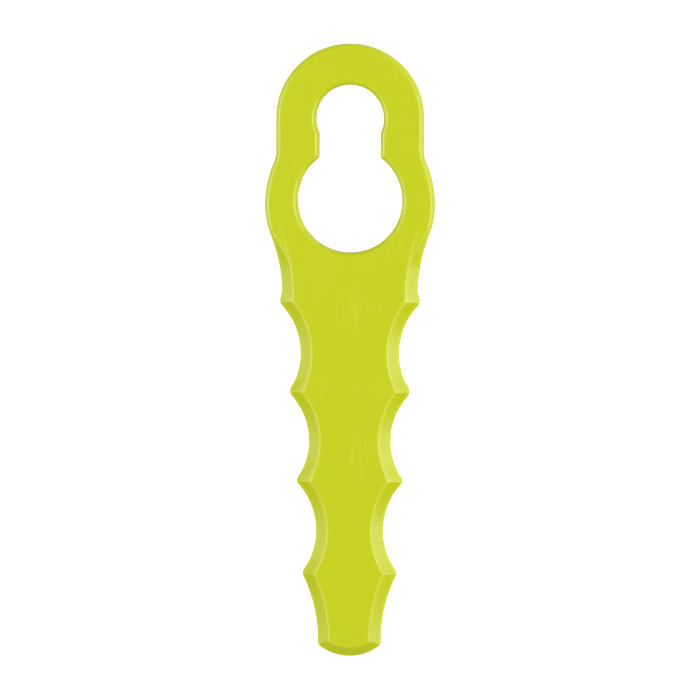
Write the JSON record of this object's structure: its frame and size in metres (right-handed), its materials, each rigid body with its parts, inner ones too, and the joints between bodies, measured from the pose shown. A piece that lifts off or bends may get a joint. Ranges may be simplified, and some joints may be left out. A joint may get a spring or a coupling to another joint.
{
  "type": "grass trimmer blade",
  "caption": "Flat clip-on plastic cutting blade with a keyhole in its rounded head and bevelled, scalloped and toothed edges down to a rounded tip.",
  "frame": {"origin": "centre of the blade's footprint, on its underside", "axes": "+Y along the blade towards the keyhole head, +X across the blade, +Z through the thickness, out of the upper face"},
  "size_m": [0.0244, 0.088, 0.0032],
  "materials": {
    "blade_plastic": "satin moulded nylon, lime yellow-green"
  },
  "bodies": {
    "root": {"cutting_blade": "blade_plastic"}
  },
  "joints": []
}
